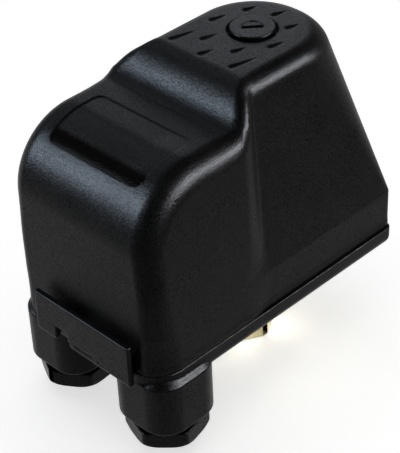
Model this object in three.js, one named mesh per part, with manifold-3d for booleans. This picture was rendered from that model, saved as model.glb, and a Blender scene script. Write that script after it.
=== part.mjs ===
// Pressure switch for a water pump or compressor, in millimetres, +Z up.
// Origin: centre of the pressure connection's lower face. The cable glands are at -Y.
import * as THREE from 'three';
import { mergeVertices } from 'three/addons/utils/BufferGeometryUtils.js';
import Module from 'manifold-3d';

const wasm = await Module();
wasm.setup();

// ---------------------------------------------------------------- driving dimensions

const GAP = 0.3; // between neighbouring pieces
const RUN = 0.1; // radial clearance of a turning or sliding fit

const HALF_WIDTH = 30.65; // housing, at the joint between base and cover
const FRONT_Y = -66.5;
const REAR_Y = 37;
const JOINT_Z = 35; // joint line between base and cover
const BASE_Z = 28; // underside of the base
const TOP_Z = 107.2; // top of the cover's tower
const CORNER_FRONT = 10;
const CORNER_REAR = 2.5;
const WALL = 2.2;
const RIM_INSET = WALL + 0.9; // the rim of the base stands inside the cover
const DRAFT = Math.tan(THREE.MathUtils.degToRad(1.7));

const NECK_Y = -24.5; // where the hood's side walls turn in towards the tower
const NECK_REAR = { low: -20.6, top: -16.1 }; // where they meet the tower's walls
const STUD_Y = 6.5; // range stud and cover screw
const LID_Z = 97.7; // flat part of the hood's lid
const BROW = 22.6; // radius between the hood's front wall and its lid
const SIDE_ROUND = 8.5; // radius between the hood's side walls and its lid
const TOWER_HALF = 20.3; // half width and rear radius of the tower's top
const TOWER_ROUND = 5; // radius of the tower's top edge
const SKIRT_Z = 47; // the tower tapers in above this height
const TOWER_STEP = 0.3; // how far the tower's side stands back from the hood's at the joint

const GLAND_X = 19.8;
const GLAND_Y = -54.2;
const GLAND_HALF = 12.4;
const GLAND_CORNER = 8.4;
const GLAND_Z = 12.8; // lower end of the gland tubes
const NUT_AF = 22.5;
const NUT_Z = 5.8;
const NUT_TURN = { left: 34, right: 43 }; // degrees

const PORT_AF = 17;
const PORT_BORE = 5.7; // radius of the G1/4 socket

const FLOOR_Z = 30.5; // top of the base's floor
const PLATE_Z = 31; // lower face of the steel bracket
const LEVER_Z = 37;
const PIVOT = { y: 26, z: 41 };
const DIFF_Y = -17; // differential stud
const TERMINALS_X = [-18, -6, 6, 18];
const BRIDGE_X = 13; // centre of a contact bridge
const CONTACT_Z = 48; // underside of the terminals

const SMOOTH = 22; // sides of a round piece
const FINE = 10; // sides of a small round piece

// ---------------------------------------------------------------- solids

function solid(geometry) {
  const g = geometry.index ? geometry.toNonIndexed() : geometry.clone();
  for (const name of Object.keys(g.attributes)) if (name !== 'position') g.deleteAttribute(name);
  const merged = mergeVertices(g, 1e-4);
  const mesh = new wasm.Mesh({
    numProp: 3,
    vertProperties: Float32Array.from(merged.attributes.position.array),
    triVerts: Uint32Array.from(merged.index.array),
  });
  return new wasm.Manifold(mesh);
}

function geometryOf(manifold) {
  const mesh = manifold.getMesh();
  const g = new THREE.BufferGeometry();
  g.setAttribute('position', new THREE.BufferAttribute(mesh.vertProperties, 3));
  g.setIndex(new THREE.BufferAttribute(mesh.triVerts, 1));
  g.computeVertexNormals();
  return g;
}

const join = (...parts) => parts.reduce((a, b) => a.add(b));
const cut = (body, ...tools) => tools.reduce((a, b) => a.subtract(b), body);

function box(x0, x1, y0, y1, z0, z1) {
  const g = new THREE.BoxGeometry(x1 - x0, y1 - y0, z1 - z0);
  return solid(g.translate((x0 + x1) / 2, (y0 + y1) / 2, (z0 + z1) / 2));
}

// Upright cylinder or cone.
function rod(r, z0, z1, x = 0, y = 0, sides = SMOOTH, rTop = r) {
  const g = new THREE.CylinderGeometry(rTop, r, z1 - z0, sides);
  return solid(g.rotateX(Math.PI / 2).translate(x, y, (z0 + z1) / 2));
}

// Cylinder along X.
function rodX(r, x0, x1, y, z, sides = FINE) {
  const g = new THREE.CylinderGeometry(r, r, x1 - x0, sides);
  return solid(g.rotateZ(Math.PI / 2).translate((x0 + x1) / 2, y, z));
}

const ring = (r, bore, z0, z1, x = 0, y = 0, sides = SMOOTH) =>
  cut(rod(r, z0, z1, x, y, sides), rod(bore, z0 - 1, z1 + 1, x, y, sides));

// Bore for a shaft of radius r, whose facets clear the shaft's corners in every position.
const runningBore = (r, z0, z1, x, y, sides = FINE) =>
  rod((r + RUN) / Math.cos(Math.PI / sides), z0, z1, x, y, sides);

// Upright hexagonal prism, turned by an angle in degrees.
function hexagon(acrossFlats, z0, z1, x, y, turn = 0) {
  const g = new THREE.CylinderGeometry(acrossFlats / Math.sqrt(3), acrossFlats / Math.sqrt(3), z1 - z0, 6);
  g.rotateX(Math.PI / 2).rotateZ(THREE.MathUtils.degToRad(turn));
  return solid(g.translate(x, y, (z0 + z1) / 2));
}

// Hexagon with its corners turned off conically at both ends.
function nutHexagon(acrossFlats, z0, z1, x, y, turn = 0) {
  const corner = acrossFlats / Math.sqrt(3) + 0.05;
  const rise = 0.55 * (corner - acrossFlats / 2);
  const flat = acrossFlats / 2;
  const profile = [[0, z0], [flat, z0], [corner, z0 + rise], [corner, z1 - rise], [flat, z1], [0, z1]];
  const g = new THREE.LatheGeometry(profile.map(([r, z]) => new THREE.Vector2(r, z)), SMOOTH);
  const turned = solid(g.rotateX(Math.PI / 2).translate(x, y, 0));
  return hexagon(acrossFlats, z0, z1, x, y, turn).intersect(turned);
}

// Outline of a rounded rectangle as points, with its own radius at the front and rear corners.
function roundedOutline(x0, x1, y0, y1, front, rear, steps) {
  const corners = [
    [x1 - front, y0 + front, front, -Math.PI / 2], [x1 - rear, y1 - rear, rear, 0],
    [x0 + rear, y1 - rear, rear, Math.PI / 2], [x0 + front, y0 + front, front, Math.PI],
  ];
  return corners.flatMap(([cx, cy, r, start]) =>
    Array.from({ length: steps + 1 }, (_, i) => {
      const a = start + (i / steps) * (Math.PI / 2);
      return new THREE.Vector2(cx + r * Math.cos(a), cy + r * Math.sin(a));
    }));
}

// Solid through a stack of outlines, each { z, points } with the same number of points.
function loft(sections) {
  const n = sections[0].points.length;
  const positions = sections.flatMap(({ z, points }) => points.flatMap((p) => [p.x, p.y, z]));
  const index = [];
  for (let s = 0; s + 1 < sections.length; s++) {
    for (let i = 0; i < n; i++) {
      const a = s * n + i;
      const b = s * n + ((i + 1) % n);
      index.push(a, b, b + n, a, b + n, a + n);
    }
  }
  for (const [s, flip] of [[0, true], [sections.length - 1, false]]) {
    for (const [a, b, c] of THREE.ShapeUtils.triangulateShape(sections[s].points, [])) {
      index.push(s * n + a, s * n + (flip ? c : b), s * n + (flip ? b : c));
    }
  }
  const g = new THREE.BufferGeometry();
  g.setAttribute('position', new THREE.Float32BufferAttribute(positions, 3));
  g.setIndex(index);
  return g;
}

const stack = (sections) => solid(loft(sections));
const plate = (points, z0, z1) => stack([{ z: z0, points }, { z: z1, points }]);

// Coil spring with closed end turns, standing along Z.
class CoilPath extends THREE.Curve {
  constructor(radius, turns, z0, z1, wire, x, y) {
    super();
    Object.assign(this, { radius, turns, z0, z1, wire, x, y });
  }

  getPoint(t, target = new THREE.Vector3()) {
    const dead = 1 / this.turns; // the first and last turn lie flat
    const rise = THREE.MathUtils.clamp((t - dead) / (1 - 2 * dead), 0, 1);
    const flat = this.wire * (Math.min(t, dead) + Math.max(t - 1 + dead, 0)) / dead;
    const height = this.z1 - this.z0 - this.wire;
    const z = this.z0 + this.wire / 2 + flat + rise * (height - 2 * this.wire);
    const a = t * this.turns * 2 * Math.PI;
    return target.set(this.x + this.radius * Math.cos(a), this.y + this.radius * Math.sin(a), z);
  }
}

function spring(outer, wire, turns, z0, z1, x, y, perTurn = 10, sides = 5) {
  const path = new CoilPath(outer - wire / 2, turns, z0, z1, wire, x, y);
  const section = new THREE.Shape(Array.from({ length: sides }, (_, i) => {
    const a = (i / sides) * 2 * Math.PI;
    return new THREE.Vector2((wire / 2) * Math.cos(a), (wire / 2) * Math.sin(a));
  }));
  return new THREE.ExtrudeGeometry(section, { steps: turns * perTurn, extrudePath: path });
}

// ---------------------------------------------------------------- materials

const finish = (color, roughness, metalness) =>
  new THREE.MeshStandardMaterial({ color, roughness, metalness });
const blackPlastic = finish(0x17181a, 0.5, 0);
const zinc = finish(0xb4b6b4, 0.38, 1);
const yellowZinc = finish(0xb9a45c, 0.4, 1);
const brass = finish(0xc2a25a, 0.35, 1);
const springSteel = finish(0x8d9093, 0.35, 1);
const rubber = finish(0x1a1a1a, 0.9, 0);
const darkRubber = finish(0x262422, 0.85, 0);
const acetal = finish(0xd9d7cf, 0.45, 0);
const bakelite = finish(0x4a2a1c, 0.5, 0);

const assembly = new THREE.Group();

function place(name, shape, material) {
  const geometry = shape.isBufferGeometry ? shape : geometryOf(shape);
  const mesh = new THREE.Mesh(geometry, material);
  mesh.name = name;
  assembly.add(mesh);
}

const placeEach = (name, shapes, material) =>
  shapes.forEach((s, i) => place(`${name}_${i + 1}`, s, material));

// ---------------------------------------------------------------- cover

// Side outline of the hood, moved inwards: front wall, brow, lid and the ramp up to the tower.
function hoodOutline(inset) {
  const front = FRONT_Y + inset;
  const lid = LID_Z - inset;
  const top = TOP_Z - inset;
  const brow = BROW - inset;
  const foot = { y: -29.3 + 0.3 * inset, z: lid }; // corners of the ramp, rounded by the curves
  const head = { y: -21.4 + 0.6 * inset, z: top };
  const middle = { y: (foot.y + head.y) / 2, z: (foot.z + head.z) / 2 };
  const shape = new THREE.Shape();
  shape.moveTo(front, JOINT_Z - 1);
  shape.lineTo(front, lid - brow);
  shape.absarc(front + brow, lid - brow, brow, Math.PI, Math.PI / 2, true);
  shape.lineTo(foot.y - 3.5, lid);
  shape.quadraticCurveTo(foot.y, foot.z, middle.y, middle.z);
  shape.quadraticCurveTo(head.y, head.z, head.y + 5, top);
  shape.lineTo(FRONT_Y + 60, top);
  shape.lineTo(FRONT_Y + 60, JOINT_Z - 1);
  return shape.getPoints(7).reverse();
}

// The hood is lofted across its width, with rounded side edges and drafted side walls.
function hood(inset) {
  const round = SIDE_ROUND - inset;
  const half = HALF_WIDTH - inset;
  const right = Array.from({ length: 7 }, (_, i) => {
    const a = (i / 6) * (Math.PI / 2);
    const points = hoodOutline(inset + round * (1 - Math.cos(a)));
    return { z: half - round + round * Math.sin(a), points };
  });
  const left = right.map(({ z, points }) => ({ z: -z, points })).reverse();
  const g = loft([...left, ...right]);
  const axes = new THREE.Matrix4().makeBasis(
    new THREE.Vector3(0, 1, 0), new THREE.Vector3(0, 0, 1), new THREE.Vector3(1, 0, 0));
  g.applyMatrix4(axes);
  const p = g.attributes.position;
  for (let i = 0; i < p.count; i++) {
    p.setX(i, p.getX(i) * (1 - (DRAFT * (p.getZ(i) - JOINT_Z)) / HALF_WIDTH));
  }
  return solid(g).intersect(neck(inset));
}

const towerShare = (z) => THREE.MathUtils.clamp((z - SKIRT_Z) / (TOP_Z - SKIRT_Z), 0, 1);

function towerHalf(z) {
  const skirtHalf = HALF_WIDTH - TOWER_STEP - DRAFT * (Math.min(z, SKIRT_Z) - JOINT_Z);
  return THREE.MathUtils.lerp(skirtHalf, TOWER_HALF, towerShare(z));
}

// Space that the hood may fill: behind NECK_Y its sides turn in until they meet the tower.
function neck(inset) {
  const outer = HALF_WIDTH + 5;
  const outline = (z) => {
    const hoodHalf = HALF_WIDTH - DRAFT * (z - JOINT_Z) - inset;
    const rear = THREE.MathUtils.lerp(NECK_REAR.low, NECK_REAR.top, towerShare(z)) - inset;
    const right = [
      [outer, FRONT_Y - 5], [outer, NECK_Y - inset],
      [hoodHalf, NECK_Y - inset], [towerHalf(z) - inset - 0.5, rear],
    ];
    const left = right.map(([x, y]) => [-x, y]).reverse();
    return { z, points: [...right, ...left].map(([x, y]) => new THREE.Vector2(x, y)) };
  };
  return stack([inset > 0 ? JOINT_Z - 1 : JOINT_Z, SKIRT_Z, TOP_Z + 5].map(outline));
}

// One level of the rear body: square at the skirt, a D shape at the tower's top.
function towerSection(z, inset, shrink = 0) {
  const t = towerShare(z);
  const half = towerHalf(z);
  const rear = THREE.MathUtils.lerp(REAR_Y, STUD_Y + TOWER_HALF, t) - inset - shrink;
  const corner = THREE.MathUtils.lerp(CORNER_REAR, TOWER_HALF, t) - inset - shrink;
  const front = THREE.MathUtils.lerp(NECK_Y - 7, NECK_Y + 1, t) + inset + shrink;
  const side = half - inset - shrink;
  return { z, points: roundedOutline(-side, side, front, rear, 0.6, Math.max(corner, 0.4), 8) };
}

function tower(inset) {
  const low = inset > 0 ? JOINT_Z - 1 : JOINT_Z;
  const round = TOWER_ROUND - inset;
  const top = TOP_Z - inset;
  const levels = [low, SKIRT_Z, SKIRT_Z + 16, SKIRT_Z + 34].map((z) => towerSection(z, inset));
  for (let i = 0; i <= 5; i++) {
    const a = (i / 5) * (Math.PI / 2);
    levels.push(towerSection(top - round + round * Math.sin(a), inset, round * (1 - Math.cos(a))));
  }
  return stack(levels);
}

const coverForm = (inset) => join(hood(inset), tower(inset));

const SCREW_HEAD = 6.9; // radius
const SCREW_SHANK = 4.4;
const SCREW_LOW = 92;
const CAVITY = 1.5; // depth of the well round the screw's head
const CLIP = { r: 6.6, z0: 95.2, z1: 96 }; // retaining clip in the screw's groove

const screwBoss = rod(8.6, CLIP.z1 + 1, TOP_Z - 1, 0, STUD_Y, SMOOTH);
place('cover', cut(
  join(cut(coverForm(0), coverForm(WALL)), screwBoss),
  runningBore(SCREW_SHANK, 80, TOP_Z + 5, 0, STUD_Y, SMOOTH),
  rod(SCREW_HEAD + 0.6, TOP_Z - CAVITY, TOP_Z + 5, 0, STUD_Y, SMOOTH),
), blackPlastic);

// ---------------------------------------------------------------- cover screw

const SCREW_TOP = TOP_Z + 0.9;
const SLOT = { half: 3.2, width: 2, depth: 1.6 };
place('cover_screw', cut(
  join(
    rod(SCREW_HEAD, TOP_Z - CAVITY + GAP, SCREW_TOP, 0, STUD_Y, SMOOTH),
    rod(SCREW_SHANK, SCREW_LOW, TOP_Z, 0, STUD_Y, SMOOTH),
  ),
  rod(SCREW_SHANK - 1.1, SCREW_LOW - 1, SCREW_LOW + 10, 0, STUD_Y, FINE),
  ring(SCREW_SHANK + 1, SCREW_SHANK - 0.7, CLIP.z0 - 0.2, CLIP.z1 + 0.2, 0, STUD_Y, SMOOTH),
  box(-SLOT.half, SLOT.half, STUD_Y - SLOT.width / 2, STUD_Y + SLOT.width / 2,
    SCREW_TOP - SLOT.depth, TOP_Z + 5),
), blackPlastic);

place('screw_clip', cut(
  ring(CLIP.r, SCREW_SHANK - 0.4, CLIP.z0, CLIP.z1, 0, STUD_Y, SMOOTH),
  box(-2.4, 2.4, STUD_Y - 9, STUD_Y, CLIP.z0 - 1, CLIP.z1 + 1),
), springSteel);

// ---------------------------------------------------------------- base

const baseOutline = (z, inset) => ({
  z,
  points: roundedOutline(-HALF_WIDTH + inset, HALF_WIDTH - inset, FRONT_Y + inset, REAR_Y - inset,
    CORNER_FRONT - inset, Math.max(CORNER_REAR - inset, 0.4), 6),
});

function baseTray() {
  const round = 3.5;
  const levels = [0, 1, 2, 3].map((i) => {
    const a = (i / 3) * (Math.PI / 2);
    return baseOutline(BASE_Z + round * Math.sin(a), round * (1 - Math.cos(a)) * 0.6);
  });
  levels.push(baseOutline(JOINT_Z - GAP, 0));
  const tray = stack(levels);
  const rim = stack([baseOutline(JOINT_Z - 1, RIM_INSET), baseOutline(JOINT_Z + 2, RIM_INSET)]);
  const hollow = stack([baseOutline(FLOOR_Z, RIM_INSET + 1.2), baseOutline(JOINT_Z + 3, RIM_INSET + 1.2)]);
  return cut(join(tray, rim), hollow);
}

function glandTube(side) {
  const x = side * GLAND_X;
  const outline = (z, inset) => ({
    z,
    points: roundedOutline(x - GLAND_HALF + inset, x + GLAND_HALF - inset, GLAND_Y - GLAND_HALF + inset,
      GLAND_Y + GLAND_HALF - inset, GLAND_CORNER - inset, GLAND_CORNER - inset, 6),
  });
  return stack([
    outline(GLAND_Z, 0.5), outline(GLAND_Z + 0.7, 0), outline(JOINT_Z - 5, 0), outline(JOINT_Z - 3.2, 1.5),
  ]);
}

const GLAND_THREAD = 8.6; // radius of the tube's bore
const GLAND_SHOULDER = 26; // where the tube's bore steps down to the cable hole
const CABLE_HOLE = 6.6; // radius
const GLAND_WASHER = { z0: 19.3, z1: 20.6, bore: 5.2 };
const SEAL_BORE = 4.8;

const glandBores = [-1, 1].flatMap((side) => [
  rod(GLAND_THREAD, GLAND_Z - 1, GLAND_SHOULDER, side * GLAND_X, GLAND_Y),
  rod(CABLE_HOLE, GLAND_SHOULDER - 1, JOINT_Z, side * GLAND_X, GLAND_Y),
]);

const FLANGE_HALF = 21.5;
const FLANGE_BOLT = 15.5; // half spacing of the flange screws
const BOSS_Z = 24.7; // lower face of the boss that the flange is screwed to
const BOLT_R = 1.9;
const BOLT_HOLE = 2.3;
const DIAPHRAGM_R = 18;
const PISTON = { r: 12.6, top: 27.2 }; // disc of the plunger
const BOLTS = [[-1, -1], [1, -1], [1, 1], [-1, 1]].map(([sx, sy]) => [sx * FLANGE_BOLT, sy * FLANGE_BOLT]);

const squareOutline = (half, corner) => roundedOutline(-half, half, -half, half, corner, corner, 5);

const LEG_X = 7.5;
const LEG_R = 2.5;
const BLOCK_SCREWS = [[-11, -36.5], [11, -36.5]];
const EARTH_SCREWS = [[-14.5, -28.2], [14.5, -28.2]];
const STRIP = { x0: -17.8, x1: 22.4, y0: -69.9, y1: -68.1, z0: 31.6, z1: 45.6 };
const STRIP_PADS_X = [-13.5, 17];

const stripPads = STRIP_PADS_X.map((x) => box(x - 2.5, x + 2.5, STRIP.y1 + GAP, FRONT_Y + 1, 31.4, 34));

place('base', cut(
  join(
    baseTray(), glandTube(-1), glandTube(1), plate(squareOutline(FLANGE_HALF, 5), BOSS_Z, BASE_Z + 1),
    ...stripPads, ...BLOCK_SCREWS.map(([x, y]) => rod(3.4, BASE_Z + 1, 32.4, x, y, FINE)),
  ),
  ...glandBores,
  rod(PISTON.r + 0.4, BOSS_Z - 1, PISTON.top + 1.6),
  runningBore(LEG_R, 28, FLOOR_Z + 2, -LEG_X, 0),
  runningBore(LEG_R, 28, FLOOR_Z + 2, LEG_X, 0),
  ...BOLTS.map(([x, y]) => rod(BOLT_HOLE, BOSS_Z - 1, FLOOR_Z + 1, x, y, FINE)),
  ...BLOCK_SCREWS.map(([x, y]) => rod(1.5, BASE_Z + 1.2, 34, x, y, 12)),
), blackPlastic);

// ---------------------------------------------------------------- front strip

place('front_strip', cut(
  box(STRIP.x0, STRIP.x1, STRIP.y0, STRIP.y1, STRIP.z0, STRIP.z1),
  box(-9.4, -4.2, STRIP.y0 - 1, STRIP.y1 + 1, STRIP.z0 - 1, 36.4),
), blackPlastic);

// ---------------------------------------------------------------- cable glands

for (const [name, side] of [['left', -1], ['right', 1]]) {
  const x = side * GLAND_X;
  const hexTop = GLAND_Z - 1.4;
  const head = nutHexagon(NUT_AF, NUT_Z, hexTop, x, GLAND_Y, NUT_TURN[name]);
  const shankRadius = GLAND_THREAD - GAP;
  const shankTop = GLAND_WASHER.z0 - GAP;
  const shank = rod(shankRadius, hexTop - 1, shankTop, x, GLAND_Y);
  const bore = rod(CABLE_HOLE - 0.4, NUT_Z - 1, shankTop + 1, x, GLAND_Y);
  const washer = ring(shankRadius, GLAND_WASHER.bore, GLAND_WASHER.z0, GLAND_WASHER.z1, x, GLAND_Y);
  const seal = ring(shankRadius, SEAL_BORE, GLAND_WASHER.z1 + GAP, GLAND_SHOULDER - GAP, x, GLAND_Y);
  place(`gland_nut_${name}`, cut(join(head, shank), bore), blackPlastic);
  place(`gland_washer_${name}`, washer, zinc);
  place(`gland_seal_${name}`, seal, darkRubber);
}

// ---------------------------------------------------------------- pressure side

const FLANGE_LOW = 19.5;
const FLANGE_TOP = 22.5;
const NIPPLE = { r: 4.6, shoulder: 6.9, z0: 11.6, shoulderTop: 13.3, bore: 2.4 };
const SWIVEL = { top: 15.5, socket: 10.8, free: 0.25 }; // free: how loosely it turns

place('swivel_nut', cut(
  nutHexagon(PORT_AF, 0, SWIVEL.top, 0, 0),
  rod(PORT_BORE, -1, SWIVEL.socket),
  rod(NIPPLE.shoulder + SWIVEL.free, SWIVEL.socket - 0.1, NIPPLE.shoulderTop + GAP),
  rod(NIPPLE.r + SWIVEL.free, NIPPLE.shoulderTop - GAP, SWIVEL.top + 1),
), yellowZinc);

place('pressure_flange', cut(
  join(
    plate(squareOutline(FLANGE_HALF, 5), FLANGE_LOW, FLANGE_TOP + 1.9),
    rod(NIPPLE.r, NIPPLE.z0, FLANGE_LOW + 1),
    rod(NIPPLE.shoulder, NIPPLE.z0, NIPPLE.shoulderTop),
    rod(11, FLANGE_LOW - 2, FLANGE_LOW + 0.5, 0, 0, SMOOTH, 13),
  ),
  rod(DIAPHRAGM_R + 0.4, FLANGE_TOP, BOSS_Z + 1),
  rod(DIAPHRAGM_R - 4, FLANGE_LOW + 1.3, BOSS_Z),
  rod(NIPPLE.bore, 0, FLANGE_TOP, 0, 0, FINE),
  ...BOLTS.map(([x, y]) => rod(BOLT_HOLE, FLANGE_LOW - 3, BOSS_Z + 1, x, y, FINE)),
), yellowZinc);

place('diaphragm', rod(DIAPHRAGM_R, FLANGE_TOP + 0.1, BOSS_Z - 0.1), rubber);

place('plunger', join(
  rod(PISTON.r, BOSS_Z + 0.1, PISTON.top),
  rod(LEG_R, PISTON.top - 0.2, LEVER_Z - 0.2, -LEG_X, 0, FINE),
  rod(LEG_R, PISTON.top - 0.2, LEVER_Z - 0.2, LEG_X, 0, FINE),
), acetal);

function panHead(x, y, z, r, h, down) {
  const tip = down ? z - h : z;
  return down ? rod(r - 0.5, tip, z, x, y, FINE, r) : rod(r, tip, z + h, x, y, FINE, r - 0.5);
}

// A cross recess in a screw's head.
const cross = (x, y, z0, z1) => [
  box(x - 0.55, x + 0.55, y - 1.9, y + 1.9, z0, z1), box(x - 1.9, x + 1.9, y - 0.55, y + 0.55, z0, z1),
];

placeEach('flange_screw', BOLTS.map(([x, y]) => cut(
  join(panHead(x, y, FLANGE_LOW - 0.1, 3.5, 2.2, true),
    rod(BOLT_R, FLANGE_LOW - 0.5, PLATE_Z - 0.2, x, y, FINE)),
  ...cross(x, y, FLANGE_LOW - 3.5, FLANGE_LOW - 1.2),
)), zinc);

// ---------------------------------------------------------------- bracket, pin and lever

const BRACKET = { half: 22.5, y0: -24, y1: 31, thick: 2, ear: 19.5 };
const PIN_R = 2;
const CLIP_X = 24; // pin clips
const RANGE = { seat: 80, top: 100, stud: 3 };
const DIFF = { seat: 62, top: 76, stud: 2.5 };
const EARTH_R = 1.9;
const plateTop = PLATE_Z + BRACKET.thick;
const plateHole = (r, x, y) => rod(r, PLATE_Z - 1, plateTop + 1, x, y, FINE);

place('bracket', cut(
  join(
    box(-BRACKET.half, BRACKET.half, BRACKET.y0, BRACKET.y1, PLATE_Z, plateTop),
    ...[-1, 1].flatMap((s) => {
      const x0 = Math.min(s * BRACKET.half, s * (BRACKET.half - BRACKET.thick));
      const x1 = x0 + BRACKET.thick;
      return [
        box(x0, x1, BRACKET.ear, BRACKET.y1, PLATE_Z, PIVOT.z),
        rodX(6.2, x0, x1, PIVOT.y - 0.3, PIVOT.z, SMOOTH),
      ];
    }),
    box(-19, 19, -32.4, -23, PLATE_Z, plateTop),
  ),
  plateHole(LEG_R + 0.6, -LEG_X, 0),
  plateHole(LEG_R + 0.6, LEG_X, 0),
  rodX(PIN_R + RUN, -CLIP_X, CLIP_X, PIVOT.y, PIVOT.z),
  plateHole(RANGE.stud + 0.1, 0, STUD_Y),
  plateHole(DIFF.stud + 0.1, 0, DIFF_Y),
  ...EARTH_SCREWS.map(([x, y]) => plateHole(EARTH_R + 0.2, x, y)),
), zinc);

place('pivot_pin', cut(
  rodX(PIN_R, -CLIP_X - 1.2, CLIP_X + 1.2, PIVOT.y, PIVOT.z),
  ...[-1, 1].map((s) => cut(
    rodX(PIN_R + 1, s * CLIP_X - 0.4, s * CLIP_X + 0.4, PIVOT.y, PIVOT.z),
    rodX(PIN_R - 0.5, s * CLIP_X - 1, s * CLIP_X + 1, PIVOT.y, PIVOT.z))),
), springSteel);

placeEach('pin_clip', [-1, 1].map((s) => cut(
  rodX(2 * PIN_R, s * CLIP_X - 0.25, s * CLIP_X + 0.25, PIVOT.y, PIVOT.z),
  rodX(PIN_R - 0.3, s * CLIP_X - 1, s * CLIP_X + 1, PIVOT.y, PIVOT.z),
  box(s * CLIP_X - 1, s * CLIP_X + 1, PIVOT.y - 1.1, PIVOT.y + 1.1, PIVOT.z - 5, PIVOT.z),
)), springSteel);

const LEVER = { half: 18, y0: -23, y1: 30, thick: 2, cheek: 7 };
const leverTop = LEVER_Z + LEVER.thick;

place('lever', cut(
  join(
    box(-LEVER.half, LEVER.half, LEVER.y0, LEVER.y1, LEVER_Z, leverTop),
    box(-4, 4, -29.5, LEVER.y0 + 1, LEVER_Z, leverTop),
    ...[-1, 1].map((s) => {
      const x0 = Math.min(s * LEVER.half, s * (LEVER.half - LEVER.thick));
      return box(x0, x0 + LEVER.thick, LEVER.y0 + 8, LEVER.y1, LEVER_Z, LEVER_Z + LEVER.cheek);
    }),
  ),
  rod(RANGE.stud + 1.2, LEVER_Z - 1, leverTop + 1, 0, STUD_Y, FINE),
  rod(DIFF.stud + 1.2, LEVER_Z - 1, leverTop + 1, 0, DIFF_Y, FINE),
  rodX(PIN_R + RUN, -HALF_WIDTH, HALF_WIDTH, PIVOT.y, PIVOT.z),
), zinc);

// ---------------------------------------------------------------- range and differential springs

place('range_stud', join(
  rod(RANGE.stud, PLATE_Z + 0.3, RANGE.top, 0, STUD_Y, FINE),
  hexagon(8, plateTop + 0.1, plateTop + 3.4, 0, STUD_Y),
), zinc);
place('range_spring', spring(8.4, 2.2, 9, leverTop + 0.1, RANGE.seat - 2.4, 0, STUD_Y), springSteel);
place('range_seat', cut(
  join(
    rod(9.6, RANGE.seat - 2.2, RANGE.seat, 0, STUD_Y),
    rod(5.6, RANGE.seat - 5, RANGE.seat - 2, 0, STUD_Y),
  ),
  runningBore(RANGE.stud, RANGE.seat - 10, RANGE.seat + 10, 0, STUD_Y),
), zinc);
place('range_nut', cut(
  nutHexagon(10, RANGE.seat + 0.2, RANGE.seat + 5.2, 0, STUD_Y),
  runningBore(RANGE.stud, RANGE.seat, RANGE.seat + 10, 0, STUD_Y),
), zinc);

place('differential_stud', join(
  rod(DIFF.stud, PLATE_Z + 0.3, DIFF.top, 0, DIFF_Y, FINE),
  hexagon(7, plateTop + 0.1, plateTop + 3.2, 0, DIFF_Y),
), zinc);
place('differential_spring', spring(5.8, 1.5, 7, leverTop + 0.1, DIFF.seat - 1.8, 0, DIFF_Y), springSteel);
place('differential_seat', cut(
  rod(6.8, DIFF.seat - 1.6, DIFF.seat, 0, DIFF_Y),
  runningBore(DIFF.stud, DIFF.seat - 10, DIFF.seat + 10, 0, DIFF_Y),
), zinc);
place('differential_nut', cut(
  nutHexagon(8, DIFF.seat + 0.2, DIFF.seat + 4.2, 0, DIFF_Y),
  runningBore(DIFF.stud, DIFF.seat - 10, DIFF.seat + 10, 0, DIFF_Y),
), zinc);

// ---------------------------------------------------------------- terminals and contacts

const BLOCK = { half: 25.5, y0: -46, y1: -34.5, z0: 32.6, top: 56 };
const TERMINAL_Y = -42; // row of terminal screws
const CONTACT_Y = -31; // row of contacts
const carrierY = [-33.6, -28.6];

place('terminal_block', cut(
  join(
    box(-BLOCK.half, BLOCK.half, BLOCK.y0, BLOCK.y1, BLOCK.z0, CONTACT_Z - 0.1),
    ...[-24, -12, 0, 12, 24].map((x) => box(x - 1, x + 1, BLOCK.y0 - 2.5, BLOCK.y1, BLOCK.z0, BLOCK.top)),
    ...[-1, 1].map((s) => {
      const x0 = Math.min(s * 22, s * 25.5);
      return box(x0, x0 + 3.5, BLOCK.y1 - 1, -27, BLOCK.z0 + 8, 70);
    }),
  ),
  ...BLOCK_SCREWS.map(([x, y]) => rod(1.8, 30, 60, x, y, FINE)),
  ...BLOCK_SCREWS.map(([x, y]) => rod(3.4, BLOCK.z0 + 4, 60, x, y, FINE)),
  ...[-1, 1].map((s) => {
    const x0 = Math.min(s * 21, s * 23.5);
    return box(x0, x0 + 2.5, carrierY[0] - 0.2, carrierY[1] + 0.2, 35, 80);
  }),
), bakelite);

placeEach('block_screw', BLOCK_SCREWS.map(([x, y]) => cut(
  join(panHead(x, y, BLOCK.z0 + 4.2, 3, 2, false), rod(1.3, 30.5, BLOCK.z0 + 5, x, y, 12)),
  ...cross(x, y, BLOCK.z0 + 5.2, BLOCK.z0 + 8),
)), zinc);

const terminalTop = CONTACT_Z + 1.5;
TERMINALS_X.forEach((x, i) => {
  const inner = x - Math.sign(x) * (Math.abs(x) > 12 ? 1 : -3);
  place(`terminal_${i + 1}`, cut(
    join(
      box(x - 4.6, x + 4.6, BLOCK.y0 - 1, -36, CONTACT_Z, terminalTop),
      box(inner - 2.8, inner + 2.8, -37, -29, CONTACT_Z, terminalTop),
      rod(1.8, terminalTop - 0.5, terminalTop + 1, inner, CONTACT_Y, FINE),
    ),
    rod(2, 40, 60, x, TERMINAL_Y, FINE),
  ), brass);
});

placeEach('clamp_washer', TERMINALS_X.map((x) => cut(
  box(x - 4, x + 4, -46, -38, terminalTop + 0.2, terminalTop + 1.4),
  rod(2.2, 40, 60, x, TERMINAL_Y, FINE),
)), zinc);

placeEach('terminal_screw', TERMINALS_X.map((x) => cut(
  join(
    panHead(x, TERMINAL_Y, terminalTop + 1.6, 3.5, 2.4, false),
    rod(1.8, CONTACT_Z + 0.2, terminalTop + 2, x, TERMINAL_Y, FINE),
  ),
  ...cross(x, TERMINAL_Y, terminalTop + 2.8, terminalTop + 6),
)), zinc);

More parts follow.
